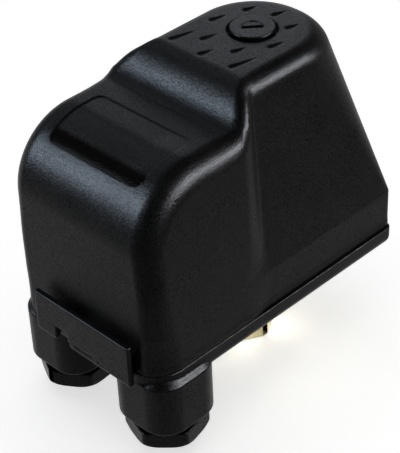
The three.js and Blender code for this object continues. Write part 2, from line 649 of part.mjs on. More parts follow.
place('contact_carrier', cut(
  join(
    box(-23.2, 23.2, ...carrierY, 56, 63),
    box(-3.2, 3.2, ...carrierY, 44.5, 57),
  ),
  ...[-1, 1].map((s) => rod(3, 55, 60, s * BRIDGE_X, CONTACT_Y, FINE)),
), acetal);

for (const [name, side] of [['left', -1], ['right', 1]]) {
  const x = side * BRIDGE_X;
  place(`contact_bridge_${name}`, join(
    box(x - 7.6, x + 7.6, -33.2, -28.8, 52.3, 53.3),
    ...[-4, 4].map((dx) => rod(1.8, 50.8, 52.5, x + dx, CONTACT_Y, FINE)),
    rod(1.6, 53, 54.4, x, CONTACT_Y, FINE),
  ), brass);
}

placeEach('contact_spring', [-1, 1].map((s) => spring(2.6, 0.6, 4, 53.6, 59.7, s * BRIDGE_X, CONTACT_Y, 8, 4)),
  springSteel);
place('toggle_spring', spring(3, 0.8, 3, leverTop + 0.1, 44.3, 0, -27.2, 8, 4), springSteel);

placeEach('earth_washer', EARTH_SCREWS.map(([x, y]) =>
  ring(2 * EARTH_R, EARTH_R + 0.2, plateTop + 0.1, plateTop + 1.1, x, y, FINE)), brass);
placeEach('earth_screw', EARTH_SCREWS.map(([x, y]) => cut(
  join(
    panHead(x, y, plateTop + 1.3, 3.4, 2.4, false),
    rod(EARTH_R, PLATE_Z - 0.2, plateTop + 2, x, y, FINE),
  ),
  ...cross(x, y, plateTop + 2.5, plateTop + 6),
)), brass);

export default assembly;
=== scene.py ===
"""Looks of a pressure switch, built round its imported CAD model."""

import math

import bpy
import numpy as np
from mathutils import Matrix, Vector


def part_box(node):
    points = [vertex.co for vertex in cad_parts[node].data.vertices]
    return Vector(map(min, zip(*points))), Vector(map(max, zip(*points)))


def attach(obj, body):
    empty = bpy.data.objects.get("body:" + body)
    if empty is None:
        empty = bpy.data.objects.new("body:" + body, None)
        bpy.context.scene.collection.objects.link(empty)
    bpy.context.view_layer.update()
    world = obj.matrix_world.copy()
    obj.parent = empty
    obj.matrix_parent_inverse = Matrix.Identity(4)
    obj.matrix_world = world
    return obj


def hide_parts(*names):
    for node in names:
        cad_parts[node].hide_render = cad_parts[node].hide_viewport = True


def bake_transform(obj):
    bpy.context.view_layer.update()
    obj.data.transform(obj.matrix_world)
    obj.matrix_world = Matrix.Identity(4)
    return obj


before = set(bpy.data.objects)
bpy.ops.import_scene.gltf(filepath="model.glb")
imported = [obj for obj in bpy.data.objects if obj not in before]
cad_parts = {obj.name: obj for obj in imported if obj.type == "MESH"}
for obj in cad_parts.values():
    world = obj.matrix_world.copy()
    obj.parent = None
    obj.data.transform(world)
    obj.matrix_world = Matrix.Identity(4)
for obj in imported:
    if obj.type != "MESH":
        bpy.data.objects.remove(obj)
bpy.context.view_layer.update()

MM = 0.001


def node_box(node):
    """Lowest and highest corner of a CAD node, in millimetres."""
    low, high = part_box(node)
    return np.array(low) / MM, np.array(high) / MM


# ------------------------------------------------------------------ implicit solids, in mm
# A solid is a function of three arrays that is negative inside it.

SIN_45 = 0.7071


def round_max(a, b, r):
    """Intersection whose edge has radius r."""
    return np.minimum(-r, np.maximum(a, b)) + np.hypot(np.maximum(r + a, 0), np.maximum(r + b, 0))


def round_min(a, b, r):
    """Union whose inner corner has radius r."""
    return -round_max(-a, -b, r)


def smooth_max(a, b, k):
    """Greater of the two, blended where they differ by less than k."""
    h = np.maximum(k - np.abs(a - b), 0) / k
    return np.maximum(a, b) + h * h * k / 4


def smooth_min(a, b, k):
    """Smaller of the two, blended where they differ by less than k."""
    return -smooth_max(-a, -b, k)


def ramp(v, low, high):
    """0 up to low, 1 from high on, and smooth between."""
    t = np.clip((v - low) / (high - low), 0, 1)
    return t * t * (3 - 2 * t)


def mix(a, b, t):
    """a where t is 0, b where it is 1, and in proportion between."""
    return a + (b - a) * t


def rectangle(x, y, half_x, half_y, r):
    """Distance to a rounded rectangle about the origin."""
    dx, dy = np.abs(x) - half_x + r, np.abs(y) - half_y + r
    return np.hypot(np.maximum(dx, 0), np.maximum(dy, 0)) + np.minimum(np.maximum(dx, dy), 0) - r


def slab(v, low, high):
    """Distance to the layer between two planes."""
    return np.abs(v - (low + high) / 2) - (high - low) / 2


def block(x, y, z, low, high, r):
    """Distance to the box between two corners, with rounded edges."""
    middle, half = (np.add(low, high) / 2, np.subtract(high, low) / 2)
    plan = rectangle(x - middle[0], y - middle[1], half[0], half[1], r)
    return round_max(plan, slab(z, low[2], high[2]), r)


def rod(x, y, z, radius, z0, z1, r):
    """Distance to an upright cylinder with rounded edges."""
    return round_max(np.hypot(x, y) - radius, slab(z, z0, z1), r)


def hexagon(x, y, across, turn, r):
    """Distance to a hexagon with rounded corners, one of them at the angle turn (degrees)."""
    d = None
    for k in range(6):
        a = math.radians(turn + 30 + 60 * k)
        side = x * math.cos(a) + y * math.sin(a) - across / 2
        d = side if d is None else round_max(d, side, r)
    return d


def thread(x, y, z, radius, pitch, depth):
    """Distance to a right-handed thread of that outer radius."""
    phase = z / pitch - np.arctan2(y, x) / (2 * math.pi)
    crest = np.abs(2 * (phase - np.floor(phase)) - 1)
    flank = np.clip(1.4 * crest - 0.2, 0, 1)
    return np.hypot(x, y) - radius + depth * flank


# ------------------------------------------------------------------ meshes


def net_of(solid, low, high, step):
    """Quad mesh over the surface of an implicit solid, inside the box low..high."""
    axes = [np.arange(a, b + step, step) for a, b in zip(low, high)]
    grid = np.meshgrid(*axes, indexing="ij")
    value = solid(*grid)
    inside = value < 0
    shape = np.array(value.shape)
    total = np.zeros((*(shape - 1), 3))
    count = np.zeros(shape - 1)
    quads = []
    number = -np.ones(shape - 1, dtype=np.int64)
    crossings = []
    for axis in range(3):
        near = [slice(None)] * 3
        far = [slice(None)] * 3
        near[axis], far[axis] = slice(None, -1), slice(1, None)
        near, far = tuple(near), tuple(far)
        crossed = np.argwhere(inside[near] != inside[far])
        i, j, k = crossed.T
        a = value[near][i, j, k]
        b = value[far][i, j, k]
        point = np.stack([grid[n][i, j, k] for n in range(3)], 1)
        point[:, axis] += step * a / (a - b)
        crossings.append((axis, crossed, point, inside[near][i, j, k]))
        others = [n for n in range(3) if n != axis]
        for da in (0, 1):
            for db in (0, 1):
                cell = crossed.copy()
                cell[:, others[0]] -= da
                cell[:, others[1]] -= db
                ok = np.all((cell >= 0) & (cell < shape - 1), axis=1)
                np.add.at(total, tuple(cell[ok].T), point[ok])
                np.add.at(count, tuple(cell[ok].T), 1)
    used = np.argwhere(count > 0)
    number[tuple(used.T)] = np.arange(len(used))
    points = total[tuple(used.T)] / count[tuple(used.T)][:, None]
    for axis, crossed, _, starts_inside in crossings:
        one, two = (axis + 1) % 3, (axis + 2) % 3
        ring = []
        ok = np.ones(len(crossed), dtype=bool)
        for da, db in ((0, 0), (1, 0), (1, 1), (0, 1)):
            cell = crossed.copy()
            cell[:, one] -= da
            cell[:, two] -= db
            ok &= np.all((cell >= 0) & (cell < shape - 1), axis=1)
            ring.append(number[tuple(np.clip(cell, 0, shape - 2).T)])
        ring = np.stack(ring, 1)
        ring[~starts_inside] = ring[~starts_inside][:, ::-1]
        quads.append(ring[ok])
    return settle(solid, points, step), np.concatenate(quads)


def settle(solid, points, step):
    """Points moved onto the surface along its gradient."""
    e = 0.01
    for _ in range(3):
        f = solid(*points.T)
        slope = np.stack([solid(*(points + e * np.eye(3)[n]).T) - f for n in range(3)], 1) / e
        move = slope * (f / np.maximum((slope**2).sum(1), 0.2))[:, None]
        length = np.linalg.norm(move, axis=1, keepdims=True)
        points = points - move * np.minimum(1, 0.5 * step / np.maximum(length, 1e-9))
    return points


def add_mesh(name, points, faces, material, body, replaces=(), smooth_angle=None):
    """New piece from points in mm, riding on a CAD body."""
    mesh = bpy.data.meshes.new(name)
    mesh.from_pydata((np.asarray(points) * MM).tolist(), [], [tuple(int(n) for n in f) for f in faces])
    mesh.validate()
    mesh.shade_smooth()
    if smooth_angle:
        mesh.set_sharp_from_angle(angle=math.radians(smooth_angle))
    mesh.materials.append(material)
    piece = bpy.data.objects.new(name, mesh)
    bpy.context.scene.collection.objects.link(piece)
    if body:
        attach(piece, body)
    if replaces:
        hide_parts(*replaces)
    return piece


def carve(name, node, solid, step, material, body, margin=1.0):
    """Piece that stands for a CAD node: an implicit solid meshed over the node's box."""
    low, high = node_box(node)
    points, faces = net_of(solid, low - margin, high + margin, step)
    piece = add_mesh(name, points, faces, material, body, [node])
    return piece


# ------------------------------------------------------------------ materials


class Nodes:
    """A material's node tree, with short calls for what every finish here needs."""

    def __init__(self, name):
        self.material = bpy.data.materials.new(f"{name}_finish")
        self.material.use_nodes = True
        self.tree = self.material.node_tree
        self.shader = self.tree.nodes["Principled BSDF"]
        self.place = self.add("ShaderNodeTexCoord").outputs["Object"]

    def add(self, kind, **values):
        """New node with the given settings and input values."""
        node = self.tree.nodes.new(kind)
        for key, value in values.items():
            if hasattr(node, key):
                setattr(node, key, value)
            else:
                node.inputs[key.replace("_", " ")].default_value = value
        return node

    def link(self, a, b):
        """Lead the output a into the input b."""
        self.tree.links.new(a, b)

    def noise(self, size, detail=2.0, roughness=0.5, stretch=(1, 1, 1)):
        """Noise whose grain is size mm across."""
        mapping = self.add("ShaderNodeMapping")
        mapping.inputs["Scale"].default_value = [1 / (size * MM * s) for s in stretch]
        self.link(self.place, mapping.inputs["Vector"])
        noise = self.add("ShaderNodeTexNoise", Scale=1.0, Detail=detail, Roughness=roughness)
        self.link(mapping.outputs["Vector"], noise.inputs["Vector"])
        return noise.outputs["Fac"]

    def range(self, value, low, high, start=0.3, end=0.7):
        """Value taken from start..end to low..high, and held there."""
        node = self.add("ShaderNodeMapRange", From_Min=start, From_Max=end, To_Min=low, To_Max=high)
        self.link(value, node.inputs["Value"])
        return node.outputs["Result"]

    def blend(self, factor, low, high):
        """Colour between low and high, each a tuple or a socket."""
        node = self.add("ShaderNodeMix", data_type="RGBA")
        colours = [s for s in node.inputs if s.type == "RGBA"]
        for socket, value in zip(colours, (low, high)):
            if isinstance(value, tuple):
                socket.default_value = (*value, 1)
            else:
                self.link(value, socket)
        self.link(factor, node.inputs[0])
        return next(s for s in node.outputs if s.type == "RGBA")

    def maths(self, operation, a, b):
        """Result of an operation on two sockets."""
        node = self.add("ShaderNodeMath", operation=operation)
        self.link(a, node.inputs[0])
        self.link(b, node.inputs[1])
        return node.outputs[0]

    def bump(self, height, distance, strength=1.0, normal=None):
        """Relief of that depth in mm, on top of another relief if one is given."""
        node = self.add("ShaderNodeBump", Distance=distance * MM, Strength=strength)
        self.link(height, node.inputs["Height"])
        if normal:
            self.link(normal, node.inputs["Normal"])
        return node.outputs["Normal"]

    def finish(self, colour, roughness, normal, metallic=0.0, specular=0.5):
        """Join everything to the shader; specular is a number or a socket."""
        self.link(colour, self.shader.inputs["Base Color"])
        self.link(roughness, self.shader.inputs["Roughness"])
        self.link(normal, self.shader.inputs["Normal"])
        self.shader.inputs["Metallic"].default_value = metallic
        if isinstance(specular, bpy.types.NodeSocket):
            self.link(specular, self.shader.inputs["Specular IOR Level"])
        else:
            self.shader.inputs["Specular IOR Level"].default_value = specular
        return self.material


FLOW_MARK = 14  # mm across the flow marks in mouldings
SINK_MARK = 3.5  # mm across their shallow sink marks
DRAWN_LINE = 0.5  # mm between the drawing lines of plated sheet
CLOUD = 5  # mm across the tone clouds of plating
DULL_PATCH = 2.2  # mm across its dulled patches


def moulded(name, dark, light, rough, grain, depth, specular=0.5, polished=None):
    """Moulded plastic with a spark-eroded grain and faint flow marks, polished beyond a line across Y."""
    n = Nodes(name)
    fine = n.noise(grain, detail=3, roughness=0.6)
    flow = n.noise(FLOW_MARK, detail=2)
    colour = n.blend(n.range(flow, 0, 1), dark, light)
    speck = n.blend(n.range(fine, 0, 0.5, 0.55, 0.8), colour, tuple(1.6 * c for c in light))
    roughness = n.maths("ADD", n.range(fine, *rough), n.range(flow, -0.03, 0.03))
    if polished:
        split = n.add("ShaderNodeSeparateXYZ")
        n.link(n.place, split.inputs["Vector"])
        start, end = (y * MM for y in polished)
        roughness = n.maths("MULTIPLY", roughness, n.range(split.outputs["Y"], 1, 0.25, start, end))
    sink = n.bump(n.noise(SINK_MARK), 0.02, 0.25)
    gleam = n.range(fine, 0.5 * specular, 1.5 * specular, 0.38, 0.62)
    return n.finish(speck, roughness, n.bump(fine, depth, 1.0, sink), 0.0, gleam)


def plated(name, dark, light, rough, tint=None):
    """Plated sheet or turned metal: fine drawing lines, cloudy tone and dulled patches."""
    n = Nodes(name)
    cloud = n.noise(CLOUD, detail=4, roughness=0.6)
    lines = n.noise(DRAWN_LINE, detail=3, stretch=(0.4, 0.4, 6))
    colour = n.blend(n.range(cloud, 0, 1), dark, light)
    if tint:
        colour = n.blend(n.range(n.noise(DULL_PATCH, detail=3), 0, 0.85, 0.42, 0.68), colour, tint)
    roughness = n.maths("ADD", n.range(cloud, *rough), n.range(lines, -0.04, 0.06))
    drawn = n.bump(lines, 0.006, 0.6)
    return n.finish(colour, roughness, n.bump(cloud, 0.02, 0.4, drawn), 1.0)


INK = {"dark": (0.0016, 0.0017, 0.002), "light": (0.0028, 0.0029, 0.0032), "grain": 0.45, "specular": 0.05}
PANEL_POLISH = (-52.2, -54)  # the panel's lower end grows glossy between these two Y
black = moulded("black_plastic", **INK, rough=(0.27, 0.36), depth=0.09)
black_smooth = moulded("black_smooth_plastic", **INK, rough=(0.25, 0.33), depth=0.05)
panel_gloss = moulded("panel_plastic", **INK, rough=(0.3, 0.36), depth=0.03, polished=PANEL_POLISH)
zinc = plated("zinc_plate", (0.2, 0.205, 0.21), (0.3, 0.305, 0.31), rough=(0.26, 0.42))
yellow_zinc = plated("yellow_zinc", (0.32, 0.27, 0.13), (0.46, 0.41, 0.23), rough=(0.28, 0.45),
                     tint=(0.4, 0.37, 0.3))
spring_steel = plated("spring_steel", (0.13, 0.135, 0.145), (0.22, 0.225, 0.235), rough=(0.24, 0.38))
brass = plated("brass", (0.3, 0.2, 0.07), (0.42, 0.3, 0.12), rough=(0.24, 0.4))
rubber = moulded("rubber", (0.016, 0.016, 0.016), (0.03, 0.03, 0.03), rough=(0.68, 0.85),
                 grain=0.6, depth=0.02, specular=0.3)
acetal = moulded("acetal", (0.6, 0.58, 0.52), (0.7, 0.68, 0.62), rough=(0.35, 0.45), grain=0.8, depth=0.008)
phenolic = moulded("phenolic", (0.06, 0.024, 0.014), (0.12, 0.05, 0.028), rough=(0.35, 0.5),
                   grain=0.5, depth=0.012)

# ------------------------------------------------------------------ cover

cover_low, cover_high = node_box("cover")
base_low, base_high = node_box("base")
JOINT = cover_low[2]  # lower edge of the cover
TOP = cover_high[2]
FRONT, REAR = cover_low[1], cover_high[1]
HALF = cover_high[0]
DRAFT = 0.0297  # lean of the side walls
LID = TOP - 9.5  # flat part of the lid
BROW = 22.6  # radius from the front wall to the lid
CORNER = 10.0  # front corner radius at the lower edge
SIDE_ROUND = 7.2  # front corner radius at the brow
TOP_ROUND = 5.0  # edge radius of the tower's top
SKIRT = JOINT + 13  # the tower tapers in above this height
NECK = -24.5  # where the hood's sides turn in
TOWER = 20.5  # half width of the tower's top
TOWER_REAR = 27.0  # rear end of the tower's top
REAR_CORNER = 2.2  # rear corner radius at the skirt
STUD = np.array([0, 6.5])  # axis of the cover screw and the range spring
WALL = 2.2
WELL, WELL_DEPTH = 7.5, 1.5  # radius and depth of the well round the cover screw
LABEL_Y = (-58.0, -37.4)  # the smooth panel on the lid
LABEL_HALF = 18.6
LABEL_DEPTH = 0.3
LABEL_CORNER = 2.4
SLOPE = 1.142  # rise of the slope between the lid and the tower's top
SLOPE_FOOT = (NECK - 1.7, LID + 1.5)  # a Y and a height on it


def lid_height(y):
    """Height of the roof along the cover: the lid, the slope and the tower's top."""
    slope = SLOPE_FOOT[1] + SLOPE * (y - SLOPE_FOOT[0])
    return smooth_min(np.full_like(y, TOP), smooth_max(np.full_like(y, LID), slope, 3.6), 5.3)


def cover_walls(x, y, z):
    """Hood's side walls and the tower's plan, joined by the neck."""
    share = np.clip((z - SKIRT) / (TOP - SKIRT), 0, 1)
    wall = HALF - 0.3 - DRAFT * (z - JOINT)
    tower = mix(HALF - 0.7 - DRAFT * (SKIRT - JOINT), TOWER, share)
    length = mix(3.9, 8.4, share)
    slant = np.hypot(wall - tower, length)
    turn = ((np.abs(x) - wall) * length + (y - NECK) * (wall - tower)) / slant
    hood = round_max(np.abs(x) - wall, turn, mix(0.8, 2.4, share))
    rear = mix(REAR, TOWER_REAR, share)
    corner = mix(REAR_CORNER, TOWER - 0.1, share)
    dx, dy = np.abs(x) - tower + corner, y - rear + corner
    plan = np.where((dx > 0) & (dy > 0), np.hypot(dx, dy), np.maximum(dx, dy)) - corner
    walls = np.maximum(round_min(hood, plan, 0.4), dy - corner)
    lip = 0.12 * (1 - ramp(z, JOINT + 1.2, JOINT + 2.8))
    return walls - lip


def cover_outside(x, y, z):
    """The cover's outer form, without its recesses."""
    e = 0.05
    height = lid_height(y)
    slope = (lid_height(y + e) - height) / e
    roof = (z - height) / np.sqrt(1 + slope * slope)
    front = FRONT + 0.25 - y
    profile = round_max(front, roof, BROW)
    r = mix(CORNER, SIDE_ROUND, ramp(z, JOINT + 4, JOINT + 30))
    r = mix(r, TOP_ROUND, ramp(y, NECK - 14, NECK + 6))
    return round_max(profile, cover_walls(x, y, z), r)


# Drop-shaped recesses in the tower's top: x, y of the round end, length.
DROPS = [(-13.5, -13.1, 9.0), (10.6, -13.0, 9.0), (-12.6, 2.6, 5.1), (11.2, 2.4, 4.9), (-6.7, -7.1, 4.9),
         (5.2, -6.6, 4.2), (-9.2, 13.5, 4.2), (7.5, 13.7, 4.2), (-0.7, 16.9, 4.2), (-1.1, -13.6, 4.2)]
DROP_TURN = math.radians(78)
DROP_RADIUS = 1.25
DROP_DEPTH = 0.45


def drop_depth(x, y):
    """Depth of the drop-shaped recesses below the top."""
    depth = np.zeros_like(x)
    for drop_x, drop_y, length in DROPS:
        u, v = x - drop_x, y - drop_y
        along = u * math.cos(DROP_TURN) + v * math.sin(DROP_TURN)
        across = v * math.cos(DROP_TURN) - u * math.sin(DROP_TURN)
        width = DROP_RADIUS * np.clip(1 - along / length, 0.12, 1)
        off = np.hypot(across, np.minimum(along, 0)) / width
        inside = 1 - ramp(off, 0.2, 1.15)
        fade = np.clip(1 - np.maximum(along, 0) / length, 0, 1)
        depth = np.maximum(depth, DROP_DEPTH * inside * np.sqrt(fade))
    return depth


def panel_edge(x, y):
    """Distance in plan to the edge of the smooth panel on the lid."""
    middle, half = (LABEL_Y[0] + LABEL_Y[1]) / 2, (LABEL_Y[1] - LABEL_Y[0]) / 2
    return rectangle(x, y - middle, LABEL_HALF, half, LABEL_CORNER)


def cover_solid(x, y, z):
    """The outer form with its drops, panel and well; the panel runs out flush to the right."""
    d = cover_outside(x, y, z)
    d = np.where(z > TOP - 3, d + drop_depth(x, y), d)
    fade = 1 - 0.75 * ramp(x, 8, 18)
    on_lid = z > JOINT + 20
    d = d + LABEL_DEPTH * fade * (1 - ramp(panel_edge(x, y), -0.15, 0.15)) * on_lid
    from_axis = np.hypot(x - STUD[0], y - STUD[1])
    well = round_max(from_axis - WELL, TOP - WELL_DEPTH - z, 0.4)
    return round_max(d, -well, 0.3)


def stitch(outer, inner):
    """Triangles between two closed loops of (number, point), both sorted by angle."""
    faces, i, j = [], 0, 0
    n, m = len(outer), len(inner)
    while i < n or j < m:
        outer_next = outer[(i + 1) % n][1] + (2 * math.pi if i + 1 >= n else 0)
        inner_next = inner[(j + 1) % m][1] + (2 * math.pi if j + 1 >= m else 0)
        if j >= m or (i < n and outer_next <= inner_next):
            faces.append((outer[i % n][0], outer[(i + 1) % n][0], inner[j % m][0]))
            i += 1
        else:
            faces.append((outer[i % n][0], inner[(j + 1) % m][0], inner[j % m][0]))
            j += 1
    return faces


def rim_loop(points, faces, height, centre):
    """Open edge of a net cut at that height: its points by angle, snapped to the height."""
    edges = np.sort(np.concatenate([faces[:, [n, (n + 1) % 4]] for n in range(4)]), axis=1)
    unique, count = np.unique(edges, axis=0, return_counts=True)
    open_points = np.unique(unique[count == 1])
    points[open_points, 2] = height
    angle = np.arctan2(points[open_points, 1] - centre, points[open_points, 0])
    order = np.argsort(angle)
    return [(int(open_points[n]), float(angle[n])) for n in order]


def cover_inside(x, y, z):
    """The cavity: the outer form moved inwards by the wall."""
    return cover_outside(x, y, z) + WALL


def build_cover():
    """Outer and inner skin, closed at the rim."""
    margin = 1.0
    outer_step, inner_step = 0.42, 1.6
    centre = (FRONT + REAR) / 2
    low = np.array([-HALF - margin, FRONT - margin, JOINT - 0.01])
    high = np.array([HALF + margin, REAR + margin, TOP + margin])
    outer, outer_faces = net_of(cover_solid, low, high, outer_step)
    inner, inner_faces = net_of(cover_inside, low, high, inner_step)
    outer_loop = rim_loop(outer, outer_faces, JOINT, centre)
    inner_loop = rim_loop(inner, inner_faces, JOINT, centre)
    start = len(outer)
    points = np.concatenate([outer, inner])
    faces = outer_faces.tolist() + (inner_faces[:, ::-1] + start).tolist()
    inner_loop = [(n + start, a) for n, a in inner_loop]
    faces += [f[::-1] for f in stitch(outer_loop, inner_loop)]
    piece = add_mesh("cover_shell", points, faces, black, "cover", ["cover"], smooth_angle=50)
    piece.data.materials.append(panel_gloss)
    for polygon in piece.data.polygons:
        x, y, z = polygon.center / MM
        if z > LID - BROW and polygon.normal.z > 0 and panel_edge(x, y) < -0.1:
            polygon.material_index = 1


build_cover()

# ------------------------------------------------------------------ cover screw

screw_low, screw_high = node_box("cover_screw")
HEAD = (screw_high[0] - screw_low[0]) / 2
HEAD_TOP = screw_high[2]
SCREW_R, SCREW_PITCH = 4.4, 1.5
SCREW_BORE, SCREW_BORE_DEPTH = 3.3, 10  # the blind bore that screws onto the range stud
CLIP_GROOVE = (95, 96.2)  # heights of the retaining clip's groove
CLIP_GROOVE_R = 3.7
SLOT_TURN = math.radians(46.5)
SLOT_HALF = (3.2, 0.9)  # half length and half width of the coin slot
SLOT_DEPTH = 3.5
MOON_DEPTH = 0.22  # the half-moon pocket beside the slot


def cover_screw(x, y, z):
    """Round head with a coin slot, a threaded shank with a clip groove, and a blind bore."""
    u, v = x - STUD[0], y - STUD[1]
    head = rod(u, v, z, HEAD, TOP - 1.2, HEAD_TOP, 0.35)
    shank = np.maximum(thread(u, v, z, SCREW_R, SCREW_PITCH, 0.5), slab(z, screw_low[2], TOP - 1))
    d = np.minimum(head, shank)
    bore = rod(u, v, z, SCREW_BORE, screw_low[2] - 2, screw_low[2] + SCREW_BORE_DEPTH, 0.2)
    d = round_max(d, -bore, 0.15)
    groove = np.maximum(CLIP_GROOVE_R - np.hypot(u, v), slab(z, *CLIP_GROOVE))
    d = np.maximum(d, -groove)
    along = u * math.cos(SLOT_TURN) + v * math.sin(SLOT_TURN)
    across = v * math.cos(SLOT_TURN) - u * math.sin(SLOT_TURN) + 0.2
    coin = np.maximum(slab(along, -SLOT_HALF[0], SLOT_HALF[0]), slab(across, -SLOT_HALF[1], SLOT_HALF[1]))
    d = round_max(d, -np.maximum(coin, HEAD_TOP - SLOT_DEPTH - z), 0.08)
    half_moon = np.maximum(np.hypot(along / 3.2, across / 3.6) * 3 - 3, -across)
    return round_max(d, -np.maximum(half_moon, HEAD_TOP - MOON_DEPTH - z), 0.06)


carve("cover_screw_turned", "cover_screw", cover_screw, 0.16, black_smooth, "cover_screw",
      0.6)

# ------------------------------------------------------------------ base

BASE_LOW = 28.0  # underside of the tray
BASE_TOP = JOINT - 0.3
FLOOR = 30.5  # upper side of the tray's floor
TRAY_EDGE, TRAY_REAR_CORNER = 3.4, 2.5  # radii of the tray's lower edge and rear corners
RIM = WALL + 0.9  # the rim stands inside the cover
GLAND = np.array([19.8, -54.2])  # axis of the right cable gland
GLAND_HALF, GLAND_CORNER = 12.4, 8.4
GLAND_LOW = base_low[2]
GLAND_SHOULDER = 30.6  # the tubes' chamfered shoulders would meet here
GLAND_BORE, CABLE_BORE = 8.6, 6.6  # radii below and above the seal's stop
GLAND_STOP = 26
FLANGE_HALF, FLANGE_CORNER = 21.5, 5
FLANGE_SEAT = 24.7  # underside of the boss that the flange is screwed to
FLANGE_BOLT, BOLT_HOLE = 15.5, 2.3
DIAPHRAGM_WELL = (13, 28.8)  # radius and top
LEG_X, LEG_HOLE = 7.5, 2.7  # the plunger's two legs
STRIP_PADS = (-13.5, 17.0)  # two pads that hold the front strip
PAD_HALF, PAD_Z = 2.5, (31.4, 34)
strip_low, strip_high = node_box("front_strip")


def tray_plan(x, y, inset):
    """Distance in plan to the tray's outline, moved inwards."""
    corner = np.where(y < 0, CORNER, TRAY_REAR_CORNER) - inset
    half = HALF - inset
    dx = np.abs(x) - half + corner
    dy = np.where(y < 0, FRONT + inset + corner - y, y - REAR + inset + corner)
    return np.hypot(np.maximum(dx, 0), np.maximum(dy, 0)) + np.minimum(np.maximum(dx, dy), 0) - corner


def flange_bolts(x, y):
    """Distance to the flange's four screw holes."""
    return np.hypot(np.abs(x) - FLANGE_BOLT, np.abs(y) - FLANGE_BOLT) - BOLT_HOLE


def base_solid(x, y, z):
    """Tray with its rim, the two gland tubes, the flange's boss and the strip's pads."""
    tray = round_max(round_max(tray_plan(x, y, 0), BASE_LOW - z, TRAY_EDGE), z - BASE_TOP, 0.2)
    rim = np.maximum(tray_plan(x, y, RIM), slab(z, BASE_TOP - 2, base_high[2]))
    d = np.minimum(tray, rim)
    side = np.abs(x) - GLAND[0]
    plan = rectangle(side, y - GLAND[1], GLAND_HALF, GLAND_HALF, GLAND_CORNER)
    shoulder = (plan + z - GLAND_SHOULDER) * SIN_45
    foot = (plan + GLAND_LOW - z + 0.7) * SIN_45
    tube = np.maximum(round_max(round_max(plan, shoulder, 0.15), foot, 0.2), GLAND_LOW - z)
    d = round_min(d, tube, 0.15)
    boss = rectangle(x, y, FLANGE_HALF, FLANGE_HALF, FLANGE_CORNER)
    d = round_min(d, round_max(boss, slab(z, FLANGE_SEAT, FLOOR), 0.4), 0.6)
    for pad_x in STRIP_PADS:
        low = (pad_x - PAD_HALF, strip_high[1] + 0.3, PAD_Z[0])
        high = (pad_x + PAD_HALF, FRONT + 1, PAD_Z[1])
        d = np.minimum(d, block(x, y, z, low, high, 0.3))
    hollow = round_max(tray_plan(x, y, RIM + 1.2), FLOOR - z, 1.2)
    d = round_max(d, -hollow, 0.3)
    from_gland = np.hypot(side, y - GLAND[1])
    bore = np.minimum(np.maximum(from_gland - GLAND_BORE, z - GLAND_STOP), from_gland - CABLE_BORE)
    d = round_max(d, -bore, 0.35)
    d = round_max(d, -rod(x, y, z, DIAPHRAGM_WELL[0], 20, DIAPHRAGM_WELL[1], 0.2), 0.2)
    d = np.maximum(d, LEG_HOLE - np.hypot(np.abs(x) - LEG_X, y))
    return round_max(d, -flange_bolts(x, y), 0.3)


carve("base_moulding", "base", base_solid, 0.42, black, "root")

# ------------------------------------------------------------------ front strip

STRIP_NOTCHES = ((-9.4, -4.2, 36.4), (-6.2, -3.4, 33.4))  # left, right and top
STRIP_LINES = ((-1.0, 6.5, 33.4, 33.9), (9.0, 11.5, 33.0, 33.5))  # left, right, bottom and top
LINE_DEPTH = 0.3


def strip_solid(x, y, z):
    """Bar with a stepped notch in its lower edge and two shallow lines in its face."""
    bar = block(x, y, z, strip_low, strip_high, 0.3)
    notch, step = (round_max(slab(x, x0, x1), z - top, 0.3) for x0, x1, top in STRIP_NOTCHES)
    d = round_max(bar, -np.minimum(notch, step), 0.2)
    for x0, x1, z0, z1 in STRIP_LINES:
        line = np.maximum(slab(x, x0, x1), slab(z, z0, z1))
        d = round_max(d, -np.maximum(line, y - strip_low[1] - LINE_DEPTH), 0.12)
    return d


carve("front_strip_bar", "front_strip", strip_solid, 0.3, black, "root", 0.6)

# ------------------------------------------------------------------ cable glands

GLAND_ACROSS = 22.5
GLAND_HEAD = 5.6  # height of the hexagon
LOWER_CHAMFER, UPPER_CHAMFER = 11.6, 12.75  # radii at the hexagon's ends
GLAND_THREAD_R, GLAND_PITCH = 8.3, 1.5
GLAND_LEAD = 7.7  # radius of the thread's upper end
GLAND_NUT_BORE = 6.2


def gland_nut(name, side, turn):
    """Hexagon nut with a chamfered head, a threaded shank and a cable bore."""
    node = f"gland_nut_{name}"
    low, high = node_box(node)
    centre = GLAND * (side, 1)
    head_top = low[2] + GLAND_HEAD

    def solid(x, y, z):
        u, v = x - centre[0], y - centre[1]
        radius = np.hypot(u, v)
        head = round_max(hexagon(u, v, GLAND_ACROSS, turn, 0.9), slab(z, low[2], head_top), 0.35)
        lower = (radius - LOWER_CHAMFER + low[2] - z) * SIN_45
        upper = (radius - UPPER_CHAMFER + z - head_top) * SIN_45
        head = round_max(round_max(head, lower, 0.4), upper, 0.4)
        shank = np.maximum(thread(u, v, z, GLAND_THREAD_R, GLAND_PITCH, 0.55), slab(z, low[2] + 5, high[2]))
        shank = round_max(shank, radius + z - high[2] - GLAND_LEAD, 0.2)
        bore = radius - GLAND_NUT_BORE - np.clip(low[2] + 1.4 - z, 0, 1.4)
        return round_max(np.minimum(head, shank), -bore, 0.3)

    carve(f"{node}_moulded", node, solid, 0.3, black_smooth, node, 0.8)


gland_nut("left", -1, 34)
gland_nut("right", 1, 43)

# ------------------------------------------------------------------ pressure side

SWIVEL_TOP = node_box("swivel_nut")[1][2]
SWIVEL_ACROSS = 17
SWIVEL_CHAMFER = 9.35  # radius of both chamfers at the ends
PORT_BORE, PORT_PITCH, PORT_DEPTH = 5.7, 1.34, 10.8
COLLAR_BORE, COLLAR_Z = 7.15, (10.7, 13.6)  # room for the nipple's collar
NIPPLE_BORE = 4.85


